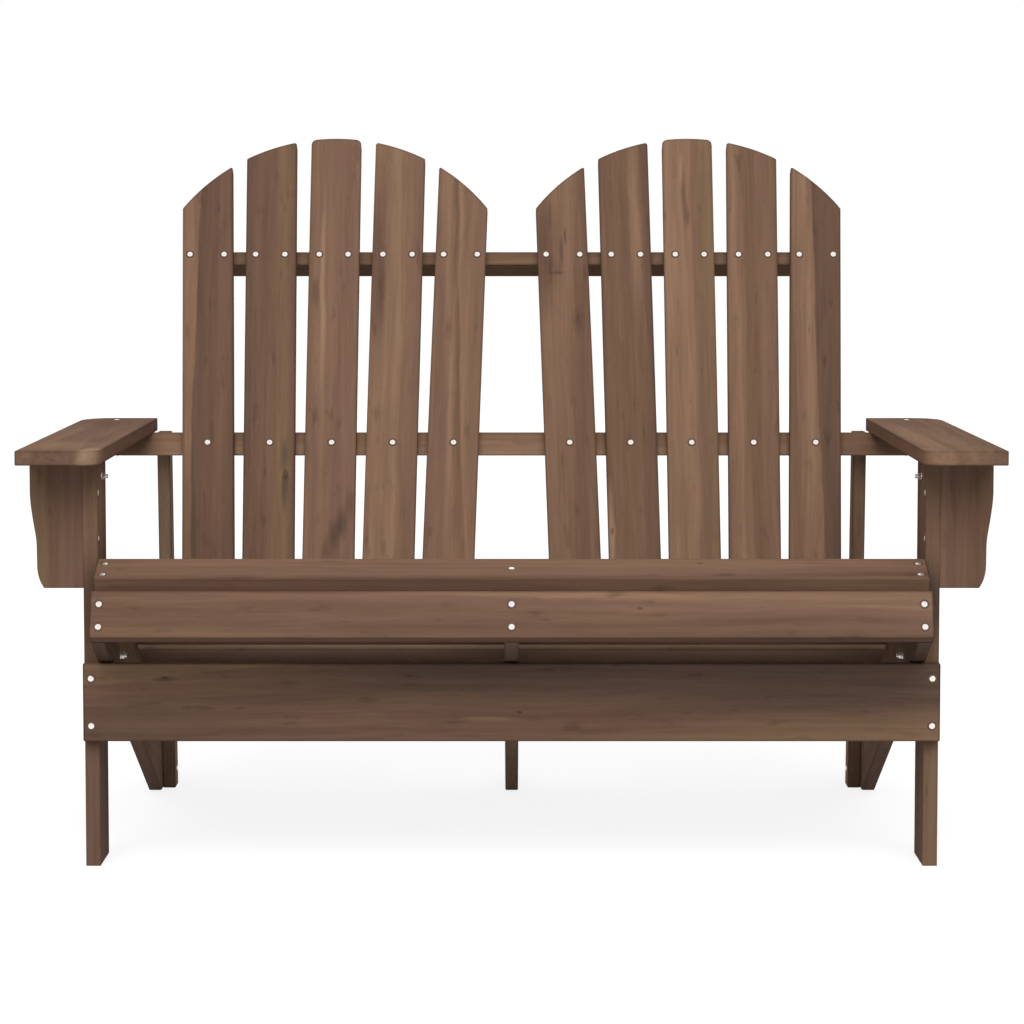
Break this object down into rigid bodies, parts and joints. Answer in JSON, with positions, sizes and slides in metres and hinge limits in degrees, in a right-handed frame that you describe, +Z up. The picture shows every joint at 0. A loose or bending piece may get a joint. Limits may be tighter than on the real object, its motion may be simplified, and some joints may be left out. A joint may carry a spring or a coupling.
{
  "type": "adirondack loveseat",
  "caption": "Slatted wooden adirondack loveseat: side-by-side fanned reclining backs, sloping waterfall seat, wide flat arms on shaped brackets, seat boards sloping back to the ground.",
  "frame": {"origin": "on the ground, at the middle of the bench's outer box", "axes": "+X to the right seen from in front, +Y to the back (the bench faces -Y), +Z up"},
  "size_m": [1.2, 0.8452, 0.9207],
  "materials": {
    "smoked_wood": "satin stain, weathered smoky brown with visible grain",
    "zinc_steel": "zinc-plated fasteners and angles"
  },
  "bodies": {
    "root": {"apron": "smoked_wood", "arm_angle_left": "zinc_steel", "arm_angle_right": "zinc_steel", "arm_bracket_left": "smoked_wood", "arm_bracket_right": "smoked_wood", "arm_left": "smoked_wood", "arm_left_bolt": "zinc_steel", "arm_left_nut": "zinc_steel", "arm_left_washer": "zinc_steel", "arm_rail": "smoked_wood", "arm_right": "smoked_wood", "arm_right_bolt": "zinc_steel", "arm_right_nut": "zinc_steel", "arm_right_washer": "zinc_steel", "back_slat_left_1": "smoked_wood", "back_slat_left_2": "smoked_wood", "back_slat_left_3": "smoked_wood", "back_slat_left_4": "smoked_wood", "back_slat_left_5": "smoked_wood", "back_slat_right_1": "smoked_wood", "back_slat_right_2": "smoked_wood", "back_slat_right_3": "smoked_wood", "back_slat_right_4": "smoked_wood", "back_slat_right_5": "smoked_wood", "bottom_back_rail": "smoked_wood", "crest_slat": "smoked_wood", "front_leg_left": "smoked_wood", "front_leg_right": "smoked_wood", "leg_left_front_bolt": "zinc_steel", "leg_left_front_nut": "zinc_steel", "leg_left_front_washer": "zinc_steel", "leg_left_rear_bolt": "zinc_steel", "leg_left_rear_nut": "zinc_steel", "leg_left_rear_washer": "zinc_steel", "leg_right_front_bolt": "zinc_steel", "leg_right_front_nut": "zinc_steel", "leg_right_front_washer": "zinc_steel", "leg_right_rear_bolt": "zinc_steel", "leg_right_rear_nut": "zinc_steel", "leg_right_rear_washer": "zinc_steel", "nose_slat": "smoked_wood", "rear_post_left": "smoked_wood", "rear_post_right": "smoked_wood", "seat_slat_1": "smoked_wood", "seat_slat_2": "smoked_wood", "seat_slat_3": "smoked_wood", "seat_slat_4": "smoked_wood", "seat_slat_5": "smoked_wood", "stringer_centre": "smoked_wood", "stringer_left": "smoked_wood", "stringer_right": "smoked_wood", "upper_back_rail": "smoked_wood"}
  },
  "joints": []
}
